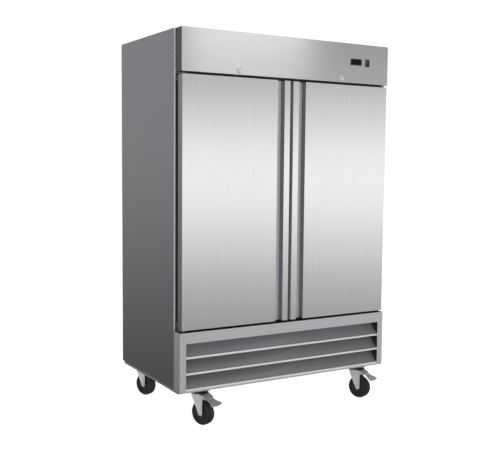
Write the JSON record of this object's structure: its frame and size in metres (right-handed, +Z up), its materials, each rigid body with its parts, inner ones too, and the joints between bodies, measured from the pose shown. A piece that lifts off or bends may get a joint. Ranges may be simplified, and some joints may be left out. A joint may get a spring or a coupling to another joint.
{
  "type": "reach-in refrigerator",
  "caption": "Upright stainless reach-in refrigerator with side-by-side solid doors, recessed full-height grips, louvred grille below, header controls and locking swivel casters.",
  "frame": {"origin": "on the floor under the middle of the whole box, which reaches from the front brake pedals to the rear panel", "axes": "+X to the viewer's right when facing the doors, +Y from the doors to the rear, +Z up"},
  "size_m": [1.372, 0.8766, 2.12],
  "materials": {
    "stainless_steel": "satin",
    "side_panel_steel": "satin",
    "galvanised_steel": "satin",
    "aluminium_lining": "satin",
    "insulation_foam": "matte",
    "gasket_rubber": "matte",
    "black_enamel": "satin",
    "coated_wire": "satin",
    "coil_fins": "satin",
    "black_plastic": "satin",
    "zinc_plate": "satin",
    "wheel_tread": "matte",
    "lock_chrome": "polished"
  },
  "bodies": {
    "cabinet": {"left_side_panel": "side_panel_steel", "right_side_panel": "side_panel_steel", "top_panel": "side_panel_steel", "rear_panel": "galvanised_steel", "base_frame": "galvanised_steel", "rear_service_cover": "galvanised_steel", "left_wall_insulation": "insulation_foam", "right_wall_insulation": "insulation_foam", "floor_insulation": "insulation_foam", "roof_insulation": "insulation_foam", "rear_wall_insulation": "insulation_foam", "front_beam_insulation": "insulation_foam", "interior_liner": "aluminium_lining", "evaporator_housing": "aluminium_lining", "centre_mullion": "stainless_steel", "header_panel": "stainless_steel", "front_grille": "stainless_steel", "temperature_controller": "black_plastic", "condensate_pan": "black_plastic", "cord_gland": "black_plastic", "compressor": "black_enamel", "condenser_coil": "coil_fins", "left_top_hinge": "zinc_plate", "left_bottom_hinge": "zinc_plate", "left_lower_shelf": "coated_wire", "left_middle_shelf": "coated_wire", "left_upper_shelf": "coated_wire", "right_top_hinge": "zinc_plate", "right_bottom_hinge": "zinc_plate", "right_lower_shelf": "coated_wire", "right_middle_shelf": "coated_wire", "right_upper_shelf": "coated_wire", "front_left_caster_plate": "zinc_plate", "rear_left_caster_plate": "zinc_plate", "front_right_caster_plate": "zinc_plate", "rear_right_caster_plate": "zinc_plate"},
    "left_door": {"left_door_skin": "stainless_steel", "left_door_core": "insulation_foam", "left_door_inner_panel": "aluminium_lining", "left_door_gasket": "gasket_rubber"},
    "right_door": {"right_door_skin": "stainless_steel", "right_door_core": "insulation_foam", "right_door_inner_panel": "aluminium_lining", "right_door_gasket": "gasket_rubber"},
    "left_lock": {"left_door_lock": "lock_chrome"},
    "right_lock": {"right_door_lock": "lock_chrome"},
    "switch_rocker": {"power_switch": "black_plastic"},
    "left_evaporator_fan_rotor": {"left_evaporator_fan": "black_plastic"},
    "right_evaporator_fan_rotor": {"right_evaporator_fan": "black_plastic"},
    "condenser_fan_rotor": {"condenser_fan": "black_plastic"},
    "front_left_caster": {"front_left_caster_fork": "zinc_plate"},
    "front_left_wheel": {"front_left_caster_wheel": "wheel_tread"},
    "rear_left_caster": {"rear_left_caster_fork": "zinc_plate"},
    "rear_left_wheel": {"rear_left_caster_wheel": "wheel_tread"},
    "front_right_caster": {"front_right_caster_fork": "zinc_plate"},
    "front_right_wheel": {"front_right_caster_wheel": "wheel_tread"},
    "rear_right_caster": {"rear_right_caster_fork": "zinc_plate"},
    "rear_right_wheel": {"rear_right_caster_wheel": "wheel_tread"},
    "front_left_pedal": {"front_left_brake_pedal": "zinc_plate"},
    "front_right_pedal": {"front_right_brake_pedal": "zinc_plate"}
  },
  "joints": [
    {"name": "left_door_hinge", "type": "hinge", "parent": "cabinet", "child": "left_door", "pos_m": [-0.656, -0.3505, 1.2095], "axis": [0, 0, -1], "range_deg": [0, 110], "stiffness_Nm_per_rad": 1.5, "springref_deg": -20.05},
    {"name": "right_door_hinge", "type": "hinge", "parent": "cabinet", "child": "right_door", "pos_m": [0.656, -0.3505, 1.2095], "axis": [0, 0, 1], "range_deg": [0, 110], "stiffness_Nm_per_rad": 1.5, "springref_deg": -20.05},
    {"name": "left_lock_turn", "type": "hinge", "parent": "cabinet", "child": "left_lock", "pos_m": [-0.34, -0.3765, 1.917], "axis": [0, 1, 0], "range_deg": [0, 90]},
    {"name": "right_lock_turn", "type": "hinge", "parent": "cabinet", "child": "right_lock", "pos_m": [0.34, -0.3765, 1.917], "axis": [0, 1, 0], "range_deg": [0, 90]},
    {"name": "switch_rock", "type": "hinge", "parent": "cabinet", "child": "switch_rocker", "pos_m": [0.524, -0.3705, 2.015], "axis": [-1, 0, 0], "range_deg": [0, 20]},
    {"name": "left_evaporator_fan_spin", "type": "hinge", "parent": "cabinet", "child": "left_evaporator_fan_rotor", "pos_m": [-0.225, -0.011, 1.96735], "axis": [0, 1, 0], "continuous": true},
    {"name": "right_evaporator_fan_spin", "type": "hinge", "parent": "cabinet", "child": "right_evaporator_fan_rotor", "pos_m": [0.225, -0.011, 1.96735], "axis": [0, 1, 0], "continuous": true},
    {"name": "condenser_fan_spin", "type": "hinge", "parent": "cabinet", "child": "condenser_fan_rotor", "pos_m": [-0.37, -0.1345, 0.352], "axis": [0, 1, 0], "continuous": true},
    {"name": "front_left_swivel", "type": "hinge", "parent": "cabinet", "child": "front_left_caster", "pos_m": [-0.538, -0.2985, 0.17], "axis": [0, 0, 1], "continuous": true},
    {"name": "front_left_roll", "type": "hinge", "parent": "front_left_caster", "child": "front_left_wheel", "pos_m": [-0.52336, -0.33139, 0.06618], "axis": [0.9135, 0.4067, 0], "continuous": true},
    {"name": "rear_left_swivel", "type": "hinge", "parent": "cabinet", "child": "rear_left_caster", "pos_m": [-0.585, 0.381, 0.17], "axis": [0, 0, 1], "continuous": true},
    {"name": "rear_left_roll", "type": "hinge", "parent": "rear_left_caster", "child": "rear_left_wheel", "pos_m": [-0.57036, 0.34811, 0.06618], "axis": [0.9135, 0.4067, 0], "continuous": true},
    {"name": "front_right_swivel", "type": "hinge", "parent": "cabinet", "child": "front_right_caster", "pos_m": [0.538, -0.2985, 0.17], "axis": [0, 0, 1], "continuous": true},
    {"name": "front_right_roll", "type": "hinge", "parent": "front_right_caster", "child": "front_right_wheel", "pos_m": [0.55264, -0.33139, 0.06618], "axis": [0.9135, 0.4067, 0], "continuous": true},
    {"name": "rear_right_swivel", "type": "hinge", "parent": "cabinet", "child": "rear_right_caster", "pos_m": [0.585, 0.381, 0.17], "axis": [0, 0, 1], "continuous": true},
    {"name": "rear_right_roll", "type": "hinge", "parent": "rear_right_caster", "child": "rear_right_wheel", "pos_m": [0.59964, 0.34811, 0.06618], "axis": [0.9135, 0.4067, 0], "continuous": true},
    {"name": "front_left_brake", "type": "hinge", "parent": "front_left_caster", "child": "front_left_pedal", "pos_m": [-0.50383, -0.37524, 0.1505], "axis": [0.9135, 0.4067, 0], "range_deg": [0, 15]},
    {"name": "front_right_brake", "type": "hinge", "parent": "front_right_caster", "child": "front_right_pedal", "pos_m": [0.57217, -0.37524, 0.1505], "axis": [0.9135, 0.4067, 0], "range_deg": [0, 15]}
  ]
}
